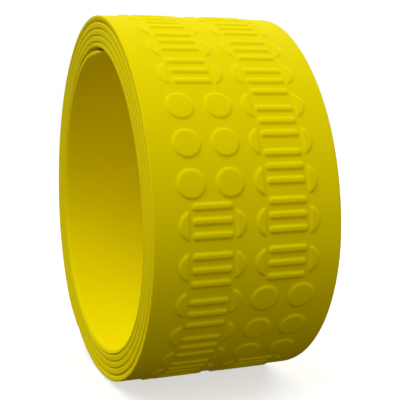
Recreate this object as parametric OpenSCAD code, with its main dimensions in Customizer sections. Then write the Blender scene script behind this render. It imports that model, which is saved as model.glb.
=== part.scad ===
// Roll of moulded elastomer grip strip, wound on itself with an open centre.
// The roll's axis is X. Angles run from -Y (0) up to +Z (90), and they grow from the
// strip's inner end to its outer end. Lengths along the strip are measured on its outer face.

/* [Strip] */
// Width of the strip, along the roll's axis
strip_w = 50; // [40:1:60]
// Thickness of the strip's plain web
web_t = 1.3; // [1:0.1:1.4]
// Pitch of the dot grid, along and across the strip
grid = 10; // [9:0.5:11]
// Diameter of a raised dot
dot_d = 7.4; // [5:0.1:8]
// Height of a raised dot above the web
dot_h = 0.3; // [0.2:0.05:0.4]

/* [Tread pads] */
// Distance from one tread pad to the next in a run
pad_pitch = 12; // [12:0.5:14]
// Number of tread pads in one run
pads_per_run = 11; // [3:1:11]
// Length of a rib, across the strip
rib_len = 10.4; // [8:0.1:11]
// Width of a rib, along the strip
rib_w = 1.9; // [1.4:0.1:2.4]
// Distance from one rib to the next in a pad
rib_pitch = 3.5; // [3:0.1:3.6]
// Height of a rib above the web
rib_h = 0.4; // [0.2:0.05:0.4]

/* [Roll] */
// Mean radius of the outermost full turn, at its outer face
roll_r = 51.4; // [50:0.1:55]
// How much the flatter arcs of a turn exceed the mean radius, and the tighter ones fall short
lobe = 6.5; // [0:0.5:7]
// Distance from one turn to the next
turn_pitch = 1.84; // [1.84:0.01:2.2]
// Radius of the inner end, where it springs inwards
tip_r = 38; // [36:0.5:38.5]

/* [Hidden] */
strip_colour = [0.86, 0.78, 0.02];

// A turn is six tangent arcs of 60 degrees, flatter and tighter by turns, each a sixth of a
// turn's pitch larger than the last. Arc 30 faces the upper front of the outermost turn.
arc_span = 60;
arcs_per_turn = 360 / arc_span;
ref_arc = 30;
first_arc = 0;
last_arc = 33;
function arc_r(j) = roll_r + (j % 2 == 0 ? lobe : -lobe) + turn_pitch * (j - ref_arc) / arcs_per_turn;
function dir(a) = [-cos(a), sin(a)];
function arc_len(j) = arc_r(j) * arc_span * PI / 180;
ref_offset = 2 * lobe / sqrt(3);
function centre(j) =
    j == ref_arc ? -ref_offset * dir(arc_span * (ref_arc + 0.5))
    : j > ref_arc ? centre(j - 1) + (arc_r(j - 1) - arc_r(j)) * dir(arc_span * j)
    : centre(j + 1) + (arc_r(j + 1) - arc_r(j)) * dir(arc_span * (j + 1));

// Length along the strip is zero at the middle of the row of dots nearest to row_angle.
row_angle = 33.5;
ref_start = -arc_r(ref_arc) * row_angle * PI / 180;
function arc_start(j) =
    j == ref_arc ? ref_start
    : j > ref_arc ? arc_start(j - 1) + arc_len(j - 1)
    : arc_start(j + 1) - arc_len(j);
ARC_STARTS = [for (j = [first_arc:last_arc]) arc_start(j)];
function arc_at(s, j = first_arc) =
    j == last_arc || s < ARC_STARTS[j + 1 - first_arc] ? j : arc_at(s, j + 1);
function angle_in(s, j) = arc_span * j + (s - ARC_STARTS[j - first_arc]) / arc_r(j) * 180 / PI;
function angle_at(s) = angle_in(s, arc_at(s));

// The strip's two ends, and the lengths that hinge: all lie midway between two rows.
rows_in = 143;
rows_out = 18;
strip_start = -(rows_in + 0.5) * grid;
strip_end = (rows_out + 0.5) * grid;
segment = 2 * grid;
outer_segments = 6;
tip_len = 1.5 * grid;
inner_end = strip_start + 2 * tip_len;
outer_root = strip_end - outer_segments * segment;
rows_per_turn = [30, 29, 30, 31];
turn_2_start = inner_end + rows_per_turn[0] * grid;
turn_3_start = turn_2_start + rows_per_turn[1] * grid;
turn_4_start = turn_3_start + rows_per_turn[2] * grid;
turn_5_start = turn_4_start + rows_per_turn[3] * grid;

// Pattern: four columns of dots, and two lines of tread pads, which repeat along the strip.
columns = 4;
pad_x = grid;
pattern_rows = 16;
first_run = -2;
last_run = 1;
run_starts = [-14.9, -4.05];
pad_gap = 0.8;
run_len = (pads_per_run - 1) * pad_pitch;
run_reach = rib_pitch + rib_w / 2 + pad_gap;
facet = grid / 3;
smooth = 64;

// How far the raised pattern is sunk into the web, and how far a cut goes in and out past it
sink = 0.6;
cut_in = 1;
cut_out = 2;

// A point h outside the strip's outer face, as [y, z], and the turn there
function point_at(s, h = 0) = let (j = arc_at(s)) centre(j) + (arc_r(j) + h) * dir(angle_in(s, j));

// A closed band between two lists of points in the YZ plane, w wide
module band(outer, inner, w = strip_w) {
    rotate([90, 0, 90]) linear_extrude(w, center = true)
        polygon(concat(outer, [for (i = [len(inner) - 1:-1:0]) inner[i]]));
}

// Places a child that is drawn at the origin, standing out along +X, on the strip's outer face:
// its own Y runs along the strip, and its own Z across it.
module on_strip(s, x) {
    p = point_at(s);
    translate([x, p[0], p[1]]) rotate([0, -90, 0]) rotate([0, 0, angle_at(s) - 90]) children();
}

module dot(s, x) {
    on_strip(s, x) translate([-sink, 0, 0]) rotate([0, 90, 0])
        cylinder(d = dot_d, h = sink + dot_h, $fn = smooth);
}

module rib(s, x) {
    on_strip(s, x) translate([-sink, -rib_w / 2, -rib_len / 2]) cube([sink + rib_h, rib_w, rib_len]);
}

// Middles of the tread pads of one line that lie between two lengths along the strip
function pads_between(s0, s1, line) = [
    for (n = [first_run:last_run], k = [0:pads_per_run - 1])
        let (s = (run_starts[line] + n * pattern_rows) * grid + k * pad_pitch)
        if (s > s0 && s < s1) s
];
function pad_side(line) = line == 0 ? -pad_x : pad_x;

// The space round a run of tread pads of one line, as far as it lies between two lengths
module clearing(s0, s1, line, n) {
    first_pad = (run_starts[line] + n * pattern_rows) * grid;
    from = max(s0, first_pad - run_reach);
    to = min(s1, first_pad + run_len + run_reach);
    steps = ceil((to - from) / grid);
    stations = [for (k = [0:1:steps]) from + (to - from) * k / steps];
    if (to > from)
        translate([pad_side(line), 0, 0])
            band([for (s = stations) point_at(s, cut_out)], [for (s = stations) point_at(s, -cut_in)],
                rib_len + 2 * pad_gap);
}

// Four dots to a row, cut back around the runs of tread pads
module dots(s0, s1) {
    difference() {
        for (row = [ceil(s0 / grid):floor(s1 / grid)], col = [0:columns - 1])
            dot(row * grid, (col - (columns - 1) / 2) * grid);
        for (line = [0, 1], n = [first_run:last_run]) clearing(s0 - grid, s1 + grid, line, n);
    }
}

// Three ribs to a pad; a rib that would cross the end of this length of strip is left out
module ribs(s0, s1) {
    for (line = [0, 1], pad = pads_between(s0 - grid, s1 + grid, line), k = [-1:1])
        let (s = pad + k * rib_pitch)
            if (s > s0 + rib_w / 2 && s < s1 - rib_w / 2) rib(s, pad_side(line));
}

// A length of the wound strip: the web, and the pattern moulded on it where it is uncovered
module strip(s0, s1, patterned) {
    stations = [for (k = [0:round((s1 - s0) / facet)]) s0 + k * facet];
    color(strip_colour) union() {
        band([for (s = stations) point_at(s)], [for (s = stations) point_at(s, -web_t)]);
        if (patterned) {
            dots(s0, s1);
            ribs(s0, s1);
        }
    }
}

// The inner end leaves the wound turns on a tighter arc of its own.
tip_steps = 6;
tip_root_arc = arc_at(inner_end);
tip_root_angle = angle_at(inner_end);
tip_centre = centre(tip_root_arc) + (arc_r(tip_root_arc) - tip_r) * dir(tip_root_angle);
function tip_angle(s) = tip_root_angle + (s - inner_end) / tip_r * 180 / PI;
function tip_point(s, r) = tip_centre + r * dir(tip_angle(s));

// A length of the inner end, plain on both faces
module inner_end_piece(s0, s1) {
    stations = [for (k = [0:tip_steps]) s0 + (s1 - s0) * k / tip_steps];
    color(strip_colour)
        band([for (s = stations) tip_point(s, tip_r)], [for (s = stations) tip_point(s, tip_r - web_t)]);
}

module inner_end_tip() { inner_end_piece(strip_start, strip_start + tip_len); }
module inner_end_root() { inner_end_piece(strip_start + tip_len, inner_end); }
module turn_1_innermost() { strip(inner_end, turn_2_start, false); }
module turn_2() { strip(turn_2_start, turn_3_start, false); }
module turn_3() { strip(turn_3_start, turn_4_start, false); }
module turn_4() { strip(turn_4_start, turn_5_start, false); }
module turn_5_outermost() { strip(turn_5_start, outer_root, true); }

// One hinging length of the outer end, counted from its root
module outer_segment(k) { strip(outer_root + k * segment, outer_root + (k + 1) * segment, true); }
module outer_end_1_root() { outer_segment(0); }
module outer_end_2() { outer_segment(1); }
module outer_end_3() { outer_segment(2); }
module outer_end_4() { outer_segment(3); }
module outer_end_5() { outer_segment(4); }
module outer_end_6_tip() { outer_segment(5); }

inner_end_tip();
inner_end_root();
turn_1_innermost();
turn_2();
turn_3();
turn_4();
turn_5_outermost();
outer_end_1_root();
outer_end_2();
outer_end_3();
outer_end_4();
outer_end_5();
outer_end_6_tip();
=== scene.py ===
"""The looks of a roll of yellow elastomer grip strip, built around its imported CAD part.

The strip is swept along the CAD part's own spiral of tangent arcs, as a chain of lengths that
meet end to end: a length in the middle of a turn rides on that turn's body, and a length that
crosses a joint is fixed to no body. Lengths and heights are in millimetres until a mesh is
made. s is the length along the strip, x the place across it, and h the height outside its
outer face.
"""

import math

import bpy
import numpy as np
from mathutils import Matrix, Vector


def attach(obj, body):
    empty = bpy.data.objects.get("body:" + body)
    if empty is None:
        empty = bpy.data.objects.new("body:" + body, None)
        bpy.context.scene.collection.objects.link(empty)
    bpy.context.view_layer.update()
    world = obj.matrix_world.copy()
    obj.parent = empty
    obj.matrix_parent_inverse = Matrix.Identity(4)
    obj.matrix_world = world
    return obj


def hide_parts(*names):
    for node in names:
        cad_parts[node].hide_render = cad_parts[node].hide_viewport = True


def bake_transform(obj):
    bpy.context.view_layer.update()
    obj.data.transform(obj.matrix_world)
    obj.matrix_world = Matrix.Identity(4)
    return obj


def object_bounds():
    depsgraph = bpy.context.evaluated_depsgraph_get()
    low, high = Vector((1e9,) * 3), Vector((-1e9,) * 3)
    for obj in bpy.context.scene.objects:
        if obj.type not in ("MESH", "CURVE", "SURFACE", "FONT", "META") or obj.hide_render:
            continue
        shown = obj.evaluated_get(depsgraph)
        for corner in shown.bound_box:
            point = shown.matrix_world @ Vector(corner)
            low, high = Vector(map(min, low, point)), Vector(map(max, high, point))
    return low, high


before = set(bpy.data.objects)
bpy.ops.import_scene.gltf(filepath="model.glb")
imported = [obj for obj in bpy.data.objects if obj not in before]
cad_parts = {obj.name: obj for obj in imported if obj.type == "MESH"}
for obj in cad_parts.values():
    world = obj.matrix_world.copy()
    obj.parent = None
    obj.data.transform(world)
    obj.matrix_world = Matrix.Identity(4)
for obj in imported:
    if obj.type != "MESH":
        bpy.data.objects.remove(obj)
cad_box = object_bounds()

MM = 0.001

# The strip
STRIP_W = 50.0
WEB_T = 1.3
HALF_W = STRIP_W / 2
HALF_T = WEB_T / 2
GRID = 10.0
DOT_D = 7.4
DOT_H = 0.36
COLUMNS = 4

# The tread pads, each of three ribs, which come in runs along two lines
PAD_PITCH = 12.0
PADS_PER_RUN = 11
RIB_LEN = 10.4
RIB_W = 1.9
RIB_PITCH = 3.5
RIB_H = 0.4
RIB_CORNER = 0.8
PAD_GAP = 0.8
RUN_LEN = (PADS_PER_RUN - 1) * PAD_PITCH

# The runs repeat along the strip. Each line's place across the strip is given with the row at
# which its run 0 starts.
PATTERN_ROWS = 16
RUNS = range(-2, 2)
PAD_LINES = {-GRID: -14.9, GRID: -4.05}

# Half the size of the space cleared of dots round a run of pads
CLEAR_X = RIB_LEN / 2 + PAD_GAP
CLEAR_S = RUN_LEN / 2 + RIB_PITCH + RIB_W / 2 + PAD_GAP

# The roll: six tangent arcs to a turn, flatter and tighter by turns
ROLL_R = 51.4
LOBE = 6.5
TURN_PITCH = 1.84
TIP_R = 38.0
ARC_SPAN = math.radians(60)
ARCS_PER_TURN = 6
REF_ARC = 30
LAST_ARC = 33

# Where s is 0: the angle from the start of the reference arc to the middle of a row of dots
ROW_ANGLE = math.radians(33.5)

# Where the strip starts, ends and changes body
STRIP_START = -143.5 * GRID
STRIP_END = 18.5 * GRID
TIP_LEN = 1.5 * GRID
SEGMENT = 2 * GRID
OUTER_SEGMENTS = 6
INNER_END = STRIP_START + 2 * TIP_LEN
OUTER_ROOT = STRIP_END - OUTER_SEGMENTS * SEGMENT
ROWS_PER_TURN = (30, 29, 30, 31)
TURN_STARTS = [INNER_END]
for rows in ROWS_PER_TURN:
    TURN_STARTS.append(TURN_STARTS[-1] + rows * GRID)
COVERED_TURNS = len(ROWS_PER_TURN)
OUTERMOST_START = TURN_STARTS[COVERED_TURNS]

# Where the outermost turn's two pieces meet, and the length at the end of each covered turn that
# leads to the next one
FRONT_START = OUTERMOST_START + 13 * GRID
SEAM_LEN = 7 * GRID

# Spacing of the mesh's points where the strip has its pattern, where it is plain, and under it
FINE = GRID / 34
COARSE = GRID / 4
UNDER_STEP = 4.0
PATTERNED_FROM = OUTERMOST_START - SEAM_LEN - COARSE

# Numbers of points in the margin beside the pattern, round a corner, across the border's slope
# and from there to the middle of the inner face
MARGIN_POINTS = 4
CORNER_POINTS = 7
BORDER_POINTS = 5
UNDER_POINTS = 4

# The strip's two ends are rounded through this angle in degrees, which leaves a small flat face
END_SWEEP = 75
END_POINTS = 6

# The moulding's edges: the radius at the strip's corners, and how far a raised edge's slope
# reaches outside and inside its outline
EDGE_R = 0.35
SOFT_OUT = 0.15
SOFT_IN = 0.45

# How many times larger the inner face's corners are where the strip lies innermost and along
# the outermost turn, and over what length they grow
ROUND_INNERMOST = 2.8
ROUND_OUTERMOST = 2.2
INNERMOST = (INNER_END, INNER_END + 20 * GRID)
OUTERMOST = (STRIP_END - 32 * GRID, STRIP_END - 2 * GRID)
ROUND_RUN = 3 * GRID

# The thicker border outside the pattern, where the turns lie closer, and how it fades in along
# turn 1. A turn can slide by 4 mm and its border still clears the dots under it.
PATTERN_EDGE = 19.6
BORDER_FROM = 22.8
BORDER_TO = 23.4
BORDER_T = 0.42
BORDER_START = TURN_STARTS[1] - 2 * GRID
BORDER_RUN = 4 * GRID

# Both ends are skived thin: the inner one on its inner face, the outer one on its outer face.
# The shares are what is left of the thickness at the very end.
INNER_SKIVE = 5.0
OUTER_SKIVE = 14.0
INNER_SHARE = 0.3
OUTER_SHARE = 0.12

# The elastomer's colours, among them a darker yellow that is painted shade in the low web between
# the raised pattern, and how much of that painted shade and of the scuffing shows at most and at
# least
BODY_DEEP = (0.915, 0.787, 0.0, 1)
BODY_LIGHT = (0.95, 0.82, 0.0, 1)
# Painted shade: the darker yellow laid over the low web between the raised pattern
PAINTED_SHADE = (0.87, 0.74, 0.0, 1)
SCUFF = (0.98, 0.87, 0.0, 1)
SPECULAR = 0.02
SPECULAR_TINT = (1.0, 0.84, 0.03, 1)
PAINTED_SHADE_SHARES = (0.3, 0.0)
SCUFF_SHARES = (0.35, 0.75)
ROUGHNESS = (0.46, 0.62)

# The scale of each noise per metre, and the depth of the grain
MOTTLE_SCALE = 55
FLOW_SCALE = 420
SCUFF_SCALE = 900
GRAIN_SCALE = 2600
GRAIN_DEPTH = 0.03
GRAIN_STRENGTH = 0.35
FLOW_SHARE = 0.8

# The stage, in metres, its faintly cool white, and the lamps' faintly warm one
STAGE_REACH = 5.0
STAGE_TOP = 4.0
STAGE_SIDES = 48
COOL_WHITE = (1.0, 1.02, 1.1)
WARM_WHITE = (1.0, 0.98, 0.92)

# The camera stands off the roll's middle, and is then moved aside and up, in metres
CAMERA_AZIMUTH = math.radians(-21.3)
CAMERA_ELEVATION = math.radians(7.32)
CAMERA_DISTANCE = 0.2571
CAMERA_ASIDE = 0.00616
CAMERA_UP = -0.00044
LENS = 78.1
SENSOR_W = 36


# ---------------------------------------------------------------- the spiral

def direction(angle):
    """Unit vectors [y, z] at angles from -Y up to +Z."""
    return np.stack([-np.cos(angle), np.sin(angle)], axis=-1)


def arc_radius(j):
    swing = LOBE if j % 2 == 0 else -LOBE
    return ROLL_R + swing + TURN_PITCH * (j - REF_ARC) / ARCS_PER_TURN


def spiral_arcs():
    """Each arc's radius, centre and length along the strip at its start, from arc 0 up."""
    radii = np.array([arc_radius(j) for j in range(LAST_ARC + 1)])
    centres = np.zeros((LAST_ARC + 1, 2))
    starts = np.zeros(LAST_ARC + 1)
    from_middle = 2 * LOBE / math.sqrt(3)
    centres[REF_ARC] = -from_middle * direction(ARC_SPAN * (REF_ARC + 0.5))
    starts[REF_ARC] = -radii[REF_ARC] * ROW_ANGLE
    for j in range(REF_ARC + 1, LAST_ARC + 1):
        step = (radii[j - 1] - radii[j]) * direction(ARC_SPAN * j)
        centres[j] = centres[j - 1] + step
        starts[j] = starts[j - 1] + radii[j - 1] * ARC_SPAN
    for j in range(REF_ARC - 1, -1, -1):
        step = (radii[j + 1] - radii[j]) * direction(ARC_SPAN * (j + 1))
        centres[j] = centres[j + 1] + step
        starts[j] = starts[j + 1] - radii[j] * ARC_SPAN
    return radii, centres, starts


RADII, CENTRES, STARTS = spiral_arcs()


def wound(s):
    """The centre, radius and angle of the wound strip at lengths s."""
    j = np.clip(np.searchsorted(STARTS, s, side="right") - 1, 0, LAST_ARC)
    return CENTRES[j], RADII[j], ARC_SPAN * j + (s - STARTS[j]) / RADII[j]


ROOT_CENTRE, ROOT_RADIUS, ROOT_ANGLE = wound(np.float64(INNER_END))
TIP_CENTRE = ROOT_CENTRE + (ROOT_RADIUS - TIP_R) * direction(ROOT_ANGLE)


def place(s, h):
    """Points [y, z] at height h outside the outer face, at lengths s. The free inner end leaves
    the wound turns on a tighter arc of its own."""
    s, h = np.broadcast_arrays(np.asarray(s, float), np.asarray(h, float))
    centre, radius, angle = wound(s)
    free = s < INNER_END
    angle = np.where(free, ROOT_ANGLE + (s - INNER_END) / TIP_R, angle)
    radius = np.where(free, TIP_R, radius)
    centre = np.where(free[..., None], TIP_CENTRE, centre)
    return centre + (radius + h)[..., None] * direction(angle)


# ---------------------------------------------------------------- the moulded pattern

def smooth(t):
    """A soft step from 0 to 1 as t goes from 0 to 1."""
    t = np.clip(t, 0, 1)
    return t * t * (3 - 2 * t)


def box_distance(a, b, half_a, half_b, corner=0.0):
    """Signed distance to a rounded rectangle about the origin; negative inside."""
    da, db = np.abs(a) - half_a + corner, np.abs(b) - half_b + corner
    outside = np.hypot(np.maximum(da, 0), np.maximum(db, 0))
    return outside + np.minimum(np.maximum(da, db), 0) - corner


def raised(distance):
    """The share of its height that a raised edge reaches at a signed distance from its outline."""
    return smooth((SOFT_OUT - distance) / (SOFT_OUT + SOFT_IN))


def past_nearest(s, middles):
    """How far each length lies past the nearest of some middles."""
    return s - middles[np.abs(s[..., None] - middles).argmin(axis=-1)]


def pads_on_line(first_row):
    """The middles of one line's runs of pads, and of all its pads."""
    first_pads = np.array([(first_row + n * PATTERN_ROWS) * GRID for n in RUNS])
    pads = first_pads[:, None] + np.arange(PADS_PER_RUN) * PAD_PITCH
    return first_pads + RUN_LEN / 2, pads.ravel()


def relief(x, s):
    """The pattern's height, and the signed distance from its outlines: dots, cut back round the
    runs of ribbed pads."""
    half_columns = (COLUMNS - 1) / 2
    column = np.clip(np.round(x / GRID + half_columns), 0, COLUMNS - 1) - half_columns
    dots = np.hypot(x - column * GRID, s - np.round(s / GRID) * GRID) - DOT_D / 2
    ribs = np.full(dots.shape, GRID)
    for pad_x, first_row in PAD_LINES.items():
        runs, pads = pads_on_line(first_row)
        across = x - pad_x
        cleared = box_distance(across, past_nearest(s, runs), CLEAR_X, CLEAR_S, PAD_GAP)
        dots = np.maximum(dots, -cleared)
        along = past_nearest(s, pads)
        along = along - np.clip(np.round(along / RIB_PITCH), -1, 1) * RIB_PITCH
        rib = box_distance(across, along, RIB_LEN / 2, RIB_W / 2, RIB_CORNER)
        ribs = np.minimum(ribs, rib)
    height = np.maximum(DOT_H * raised(dots), RIB_H * raised(ribs))
    return height, np.minimum(dots, ribs)


def pattern(x, s):
    """The height of the outer face above the web, and how near it is to a raised edge. The
    covered turns are plain."""
    height, distance = relief(x, s)
    plain = (s > INNER_END) & (s < PATTERNED_FROM)
    height = np.where(plain, 0.0, height)
    distance = np.where(plain, GRID, distance)
    return height, np.exp(-(((distance + SOFT_IN) / SOFT_IN) ** 2))


# ---------------------------------------------------------------- lengths of strip

def section(patterned):
    """The loop round one plain cross-section: x, h, whether each point is on the outer face, and
    1 at the corners."""
    half = HALF_W - EDGE_R
    count = int(round(2 * PATTERN_EDGE / (FINE if patterned else COARSE)))
    margin = np.linspace(half, PATTERN_EDGE, MARGIN_POINTS, endpoint=False)
    middle = np.linspace(-PATTERN_EDGE, PATTERN_EDGE, count + 1)
    outer = np.concatenate([-margin, middle, margin[::-1]])
    quarter = np.radians(np.linspace(0, 90, CORNER_POINTS))
    turn_x = half + EDGE_R * np.sin(quarter)
    turn_h = EDGE_R * (np.cos(quarter) - 1)
    border = np.linspace(BORDER_TO, BORDER_FROM, BORDER_POINTS)
    under = np.arange(UNDER_POINTS, 0, -1) * UNDER_STEP
    side = list(zip(turn_x[1:], turn_h[1:]))
    side += [(px, -WEB_T - ph) for px, ph in zip(turn_x[::-1], turn_h[::-1])]
    side += [(px, -WEB_T) for px in np.concatenate([border, under])]
    loop = [(px, 0.0) for px in outer] + side + [(0.0, -WEB_T)]
    loop += [(-px, ph) for px, ph in side[::-1]]
    x, h = np.array(loop).T
    on_top = np.arange(len(x)) < len(outer)
    slack = EDGE_R / 10
    corner = np.where(np.abs(x) > half - slack, 1.0, 0.0)
    return x, h, on_top, corner


def stations(s0, s1, patterned, round_start, round_end):
    """Lengths along the strip at which it has a section, and how far each is drawn in."""
    count = int(round((s1 - s0) / (FINE if patterned else COARSE)))
    s = np.linspace(s0, s1, count + 1)
    inset = np.zeros(len(s))
    quarter = np.radians(np.linspace(0, END_SWEEP, END_POINTS))
    back = EDGE_R * (1 - np.sin(quarter))
    drawn = EDGE_R * (1 - np.cos(quarter))
    if round_start:
        keep = s > s0 + EDGE_R
        s = np.concatenate([s0 + back[::-1], s[keep]])
        inset = np.concatenate([drawn[::-1], inset[keep]])
    if round_end:
        keep = s < s1 - EDGE_R
        s = np.concatenate([s[keep], s1 - back])
        inset = np.concatenate([inset[keep], drawn])
    return s, inset


def border_depth(x, s):
    """How much deeper the inner face lies in the border outside the pattern."""
    across = smooth((np.abs(x) - BORDER_FROM) / (BORDER_TO - BORDER_FROM))
    return BORDER_T * across * smooth((s - BORDER_START) / BORDER_RUN)


def inner_corner(s):
    """How many times larger the corners of the inner face are at lengths s."""
    size = np.ones(s.shape)
    for (start, stop), largest in ((INNERMOST, ROUND_INNERMOST), (OUTERMOST, ROUND_OUTERMOST)):
        share = smooth((s - start) / ROUND_RUN) * smooth((stop - s) / ROUND_RUN)
        size += (largest - 1) * share
    return size


def skived(s, h, under):
    """Heights h with both ends of the strip thinned, where the inner face is at height under."""
    inner = smooth((STRIP_START + INNER_SKIVE - s) / INNER_SKIVE)
    outer = smooth((s - STRIP_END + OUTER_SKIVE) / OUTER_SKIVE)
    h = h * (1 - (1 - INNER_SHARE) * inner)
    return under + (h - under) * (1 - (1 - OUTER_SHARE) * outer)


def strip_surface(s0, s1, patterned, round_start, round_end):
    """The points of one length of strip, a row to each section: x, s, h, the pattern's height
    and how near each point is to an edge."""
    x, h, on_top, corner = section(patterned)
    s, inset = stations(s0, s1, patterned, round_start, round_end)
    xs, hs, edges = [np.tile(values, (len(s), 1)) for values in (x, h, corner)]
    ss = np.repeat(s[:, None], len(x), axis=1)
    size = np.where((edges > 0) & (hs < -HALF_T), inner_corner(ss), 1.0)
    rise = np.zeros(xs.shape)
    if patterned:
        rise[:, on_top], edges[:, on_top] = pattern(xs[:, on_top], ss[:, on_top])
        hs = hs + rise
    depth = border_depth(xs, ss)
    xs = np.sign(xs) * (HALF_W - (HALF_W - np.abs(xs)) * size)
    hs = np.where(size > 1, (hs + WEB_T) * size - WEB_T, hs)
    hs = np.where(hs < -HALF_T, hs - depth, hs)
    xs = xs * (1 - inset / HALF_W)[:, None]
    hs = -HALF_T + (hs + HALF_T) * (1 - inset / HALF_T)[:, None]
    return xs, ss, skived(ss, hs, -WEB_T - depth), rise, edges


def closed_mesh(name, points):
    """A mesh of quads between rows of points, each row a closed loop, capped at both ends. The
    caps' edges are sharp, so that a length's shading runs on into the next one's."""
    n, m = points.shape[:2]
    i, k = np.meshgrid(np.arange(n - 1), np.arange(m), indexing="ij")
    k2 = (k + 1) % m
    quads = np.stack([i * m + k, (i + 1) * m + k, (i + 1) * m + k2, i * m + k2], axis=-1)
    faces = quads.reshape(-1, 4)[:, ::-1]
    caps = np.concatenate([np.arange(m), (n - 1) * m + np.arange(m)[::-1]])
    corners = np.concatenate([faces.ravel(), caps])
    first_corners = np.concatenate([np.arange(len(faces) + 1) * 4, [len(faces) * 4 + m]])
    mesh = bpy.data.meshes.new(name)
    mesh.vertices.add(n * m)
    mesh.vertices.foreach_set("co", points.astype(np.float32).ravel())
    mesh.loops.add(len(corners))
    mesh.loops.foreach_set("vertex_index", corners.astype(np.int32))
    mesh.polygons.add(len(faces) + 2)
    mesh.polygons.foreach_set("loop_start", first_corners.astype(np.int32))
    mesh.update(calc_edges=True)
    mesh.polygons.foreach_set("use_smooth", [True] * len(faces) + [False] * 2)
    mesh.validate()

    ends = np.zeros(len(mesh.edges) * 2, np.int32)
    mesh.edges.foreach_get("vertices", ends)
    ends = ends.reshape(-1, 2)
    on_cap = (ends < m).all(axis=1) | (ends >= (n - 1) * m).all(axis=1)
    mesh.edges.foreach_set("use_edge_sharp", on_cap)
    return mesh


def keep_on_points(mesh, name, kind, field, values):
    """Keeps values on a mesh's points, for the material to read."""
    attribute = mesh.attributes.new(name, kind, "POINT")
    attribute.data.foreach_set(field, values.astype(np.float32).ravel())


def strip_piece(name, s0, s1, patterned=False, round_start=False, round_end=False):
    """One closed length of strip as an object."""
    x, s, h, rise, edges = strip_surface(s0, s1, patterned, round_start, round_end)
    yz = place(s, h)
    mesh = closed_mesh(name, np.stack([x, yz[..., 0], yz[..., 1]], axis=-1) * MM)
    strip_at = np.stack([x, s, h], axis=-1) * MM
    keep_on_points(mesh, "strip_at", "FLOAT_VECTOR", "vector", strip_at)
    keep_on_points(mesh, "raised", "FLOAT", "value", rise / RIB_H)
    keep_on_points(mesh, "edge", "FLOAT", "value", edges)
    mesh.materials.append(ELASTOMER)
    piece = bpy.data.objects.new(name, mesh)
    bpy.context.scene.collection.objects.link(piece)
    return piece


# ---------------------------------------------------------------- the material

class Nodes:
    """Short ways to add nodes to a material's tree. A value that is fed to a node is a number, a
    colour or another node's output."""

    def __init__(self, tree):
        self.tree = tree

    def feed(self, socket, value):
        if isinstance(value, bpy.types.NodeSocket):
            self.tree.links.new(value, socket)
        else:
            socket.default_value = value

    def add(self, kind, **inputs):
        node = self.tree.nodes.new(kind)
        for name, value in inputs.items():
            self.feed(node.inputs[name], value)
        return node

    def attribute(self, name, output):
        node = self.add("ShaderNodeAttribute")
        node.attribute_name = name
        return node.outputs[output]

    def noise(self, where, scale, detail, roughness=0.5):
        node = self.add(
            "ShaderNodeTexNoise", Vector=where, Scale=scale, Detail=detail, Roughness=roughness
        )
        return node.outputs["Fac"]

    def remap(self, value, span, to):
        node = self.add("ShaderNodeMapRange", Value=value)
        node.interpolation_type = "SMOOTHSTEP"
        for name, limit in zip(("From Min", "From Max", "To Min", "To Max"), span + to):
            node.inputs[name].default_value = limit
        return node.outputs["Result"]

    def maths(self, operation, a, b):
        node = self.add("ShaderNodeMath")
        node.operation = operation
        self.feed(node.inputs[0], a)
        self.feed(node.inputs[1], b)
        return node.outputs[0]

    def mix(self, share, under, over):
        node = self.add("ShaderNodeMix")
        node.data_type = "RGBA"
        colours = [socket for socket in node.inputs if socket.type == "RGBA"]
        result = [socket for socket in node.outputs if socket.type == "RGBA"]
        self.feed(node.inputs["Factor"], share)
        self.feed(colours[0], under)
        self.feed(colours[1], over)
        return result[0]


def elastomer():
    """Self-coloured satin elastomer: faint mottling, a fine grain, painted shade (a darker yellow)
    in the low web between the raised pattern, and light scuffing on its edges."""
    material = bpy.data.materials.new("yellow_elastomer")
    material.use_nodes = True
    nodes = Nodes(material.node_tree)
    shader = material.node_tree.nodes["Principled BSDF"]
    shader.inputs["Specular IOR Level"].default_value = SPECULAR
    shader.inputs["Specular Tint"].default_value = SPECULAR_TINT

    strip_at = nodes.attribute("strip_at", "Vector")
    height = nodes.attribute("raised", "Fac")
    edge = nodes.attribute("edge", "Fac")
    clouds = nodes.noise(strip_at, MOTTLE_SCALE, detail=3)
    grain = nodes.noise(strip_at, GRAIN_SCALE, detail=2, roughness=0.6)
    flow = nodes.noise(strip_at, FLOW_SCALE, detail=4, roughness=0.6)
    specks = nodes.noise(strip_at, SCUFF_SCALE, detail=5, roughness=0.7)

    mottle = nodes.remap(clouds, (0.3, 0.7), (0.0, 1.0))
    scuffs = nodes.remap(specks, (0.5, 0.75), (0.0, 1.0))
    body = nodes.mix(mottle, BODY_DEEP, BODY_LIGHT)
    # Painted shade: a darker yellow over the low web between the raised pattern, patchy with the
    # mottling
    painted_shade_share = nodes.remap(height, (0.0, 0.5), PAINTED_SHADE_SHARES)
    body_with_painted_shade = nodes.mix(nodes.maths("MULTIPLY", painted_shade_share, mottle), body, PAINTED_SHADE)
    rubbed = nodes.remap(scuffs, (0.0, 1.0), SCUFF_SHARES)
    worn = nodes.mix(nodes.maths("MULTIPLY", edge, rubbed), body_with_painted_shade, SCUFF)
    nodes.feed(shader.inputs["Base Color"], worn)
    nodes.feed(shader.inputs["Roughness"], nodes.remap(flow, (0.25, 0.75), ROUGHNESS))

    surface = nodes.maths("ADD", grain, nodes.maths("MULTIPLY", flow, FLOW_SHARE))
    bump = nodes.add("ShaderNodeBump", Height=surface)
    bump.inputs["Strength"].default_value = GRAIN_STRENGTH
    bump.inputs["Distance"].default_value = GRAIN_DEPTH * MM
    nodes.feed(shader.inputs["Normal"], bump.outputs["Normal"])
    return material


ELASTOMER = elastomer()


# ---------------------------------------------------------------- the roll

def turn_name(k):
    """The body and node of a turn, counted from 0 at the innermost."""
    names = {0: "turn_1_innermost", COVERED_TURNS: "turn_5_outermost"}
    return names.get(k, f"turn_{k + 1}")


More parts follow.
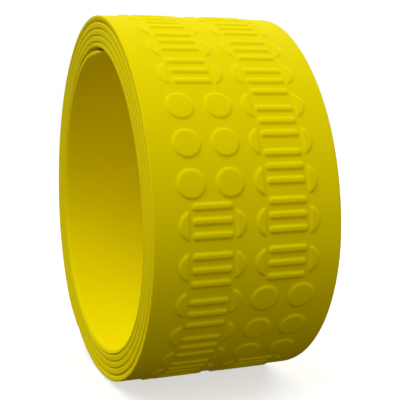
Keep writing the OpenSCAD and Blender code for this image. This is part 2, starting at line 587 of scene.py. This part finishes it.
def covered_turns():
    """The covered turns: a plain length that rides on the turn, and a seam that leads to the
    next. The last seam has the pattern, because it shows when the outer end is peeled."""
    for k in range(COVERED_TURNS):
        turn, following = turn_name(k), turn_name(k + 1)
        start = TURN_STARTS[k] + (TIP_LEN / 2 if k == 0 else 0)
        stop = TURN_STARTS[k + 1]
        seam = stop - SEAM_LEN
        web = strip_piece(f"{turn}_web", start, seam)
        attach(web, turn)
        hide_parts(turn)
        lead = strip_piece(f"{turn}_lead", seam, stop, patterned=(k == COVERED_TURNS - 1))
        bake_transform(lead)
        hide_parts(turn)


def outermost_turn():
    """The uncovered turn with its pattern, in two lengths, up to half a segment before the
    outer end's first hinge."""
    turn = turn_name(COVERED_TURNS)
    stop = OUTER_ROOT - SEGMENT / 2
    for label, s0, s1 in (("back", OUTERMOST_START, FRONT_START), ("front", FRONT_START, stop)):
        length = strip_piece(f"turn_5_{label}", s0, s1, patterned=True)
        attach(length, turn)
        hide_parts(turn)


def outer_end():
    """The outer end: a length across each hinge, from mid-segment to mid-segment. The last one
    runs on to the strip's end."""
    bodies = [turn_name(COVERED_TURNS), "outer_end_1_root"]
    bodies += [f"outer_end_{k}" for k in range(2, OUTER_SEGMENTS)] + ["outer_end_6_tip"]
    for k in range(OUTER_SEGMENTS):
        hinge = OUTER_ROOT + k * SEGMENT
        s0, s1 = hinge - SEGMENT / 2, hinge + SEGMENT / 2
        last = k == OUTER_SEGMENTS - 1
        stop = STRIP_END if last else s1
        name = f"outer_end_length_{k + 1}"
        length = strip_piece(name, s0, stop, patterned=True, round_end=last)
        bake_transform(length)
        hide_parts(bodies[k + 1])


def inner_end():
    """The free inner end: a length across each of its two hinges. The first one starts at the
    strip's end."""
    bodies = ["inner_end_tip", "inner_end_root", turn_name(0)]
    for k, label in enumerate(("tip", "root")):
        hinge = STRIP_START + (k + 1) * TIP_LEN
        s0, s1 = hinge - TIP_LEN / 2, hinge + TIP_LEN / 2
        first = k == 0
        start = STRIP_START if first else s0
        name = f"inner_end_length_{label}"
        length = strip_piece(name, start, s1, patterned=True, round_start=first)
        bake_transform(length)
        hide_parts(bodies[k])


covered_turns()
outermost_turn()
outer_end()
inner_end()


# ---------------------------------------------------------------- floor, light and camera

def pale(name, brightness, glow):
    """A matt surface that also gives off some light of its own."""
    material = bpy.data.materials.new(name)
    material.use_nodes = True
    shader = material.node_tree.nodes["Principled BSDF"]
    colour = [brightness * share for share in COOL_WHITE]
    shader.inputs["Base Color"].default_value = (*colour, 1)
    shader.inputs["Roughness"].default_value = 1.0
    shader.inputs["Specular IOR Level"].default_value = 0.0
    shader.inputs["Emission Color"].default_value = (1, 1, 1, 1)
    shader.inputs["Emission Strength"].default_value = glow
    return material


def stage_piece(name, corners, faces, material):
    """A part of the stage. It is lit and seen, but throws no light back on the roll."""
    mesh = bpy.data.meshes.new(name)
    mesh.from_pydata(corners, [], faces)
    mesh.materials.append(material)
    piece = bpy.data.objects.new(name, mesh)
    bpy.context.scene.collection.objects.link(piece)
    piece.visible_diffuse = False
    piece.visible_glossy = False
    piece.visible_shadow = False


def stage():
    """A plain pale floor under the roll, and a pale wall all round it, far off."""
    low = cad_box[0].z
    n = STAGE_SIDES
    turns = [2 * math.pi * k / n for k in range(n)]
    foot = [(STAGE_REACH * math.cos(a), STAGE_REACH * math.sin(a), low) for a in turns]
    head = [(x, y, STAGE_TOP) for x, y, z in foot]
    sides = [(k, (k + 1) % n, n + (k + 1) % n, n + k) for k in range(n)]
    floor_finish = pale("pale_floor", brightness=0.6, glow=0.6)
    wall_finish = pale("pale_wall", brightness=0.0, glow=1.0)
    stage_piece("floor", foot, [tuple(range(n))], floor_finish)
    stage_piece("wall", foot + head, sides, wall_finish)


def dome():
    """Soft light from all round that fades and warms from the top down, as over a table that
    catches the strip's colour. The ramp runs from 0, straight down, to 1, straight up."""
    world = bpy.data.worlds.new("studio")
    world.use_nodes = True
    nodes, links = world.node_tree.nodes, world.node_tree.links
    where = nodes.new("ShaderNodeTexCoord")
    split = nodes.new("ShaderNodeSeparateXYZ")
    rise = nodes.new("ShaderNodeMapRange")
    rise.inputs["From Min"].default_value = -1.0
    ramp = nodes.new("ShaderNodeValToRGB")
    stops = ramp.color_ramp.elements
    stops[0].position, stops[0].color = 0.1, (0.027, 0.02, 0.01, 1)
    stops[1].position, stops[1].color = 1.0, (0.82, 0.81, 0.76, 1)
    stops.new(0.4).color = (0.29, 0.23, 0.145, 1)
    stops.new(0.7).color = (0.556, 0.536, 0.47, 1)
    links.new(where.outputs["Generated"], split.inputs[0])
    links.new(split.outputs["Z"], rise.inputs["Value"])
    links.new(rise.outputs["Result"], ramp.inputs["Fac"])
    links.new(ramp.outputs["Color"], nodes["Background"].inputs["Color"])
    bpy.context.scene.world = world


def softbox(name, direction_to, distance, size, energy):
    """A wide soft light that looks at the roll from some way off, in metres and watts."""
    data = bpy.data.lights.new(name, "AREA")
    data.shape = "DISK"
    data.size = size
    data.energy = energy
    data.color = WARM_WHITE
    lamp = bpy.data.objects.new(name, data)
    lamp.location = Vector(direction_to) * distance
    lamp.rotation_mode = "QUATERNION"
    lamp.rotation_quaternion = lamp.location.to_track_quat("Z", "Y")
    bpy.context.scene.collection.objects.link(lamp)


def studio_light():
    """The dome, and two soft lights that reach into the open middle: the main one from above and
    to the left, a weaker one from behind and to the right."""
    dome()
    softbox("softbox_left", (-0.46, -0.22, 0.86), distance=1.2, size=0.9, energy=5.0)
    softbox("softbox_right", (0.78, 0.39, 0.49), distance=1.0, size=0.5, energy=2.9)


def camera():
    """The camera, which looks at the roll from the front, to the left and a little above."""
    level = math.cos(CAMERA_ELEVATION)
    back = Vector((
        math.sin(CAMERA_AZIMUTH) * level,
        -math.cos(CAMERA_AZIMUTH) * level,
        math.sin(CAMERA_ELEVATION),
    ))
    right = Vector((math.cos(CAMERA_AZIMUTH), math.sin(CAMERA_AZIMUTH), 0))
    up = back.cross(right)
    stand = back * CAMERA_DISTANCE + right * CAMERA_ASIDE + up * CAMERA_UP
    data = bpy.data.cameras.new("camera")
    data.sensor_width = SENSOR_W
    data.lens = LENS
    data.clip_start = 0.01
    data.clip_end = 50
    taker = bpy.data.objects.new("camera", data)
    turned = Matrix((right, up, back)).transposed()
    taker.matrix_world = Matrix.Translation(stand) @ turned.to_4x4()
    bpy.context.scene.collection.objects.link(taker)
    bpy.context.scene.camera = taker


stage()
studio_light()
camera()
bpy.context.scene.view_settings.view_transform = "Standard"
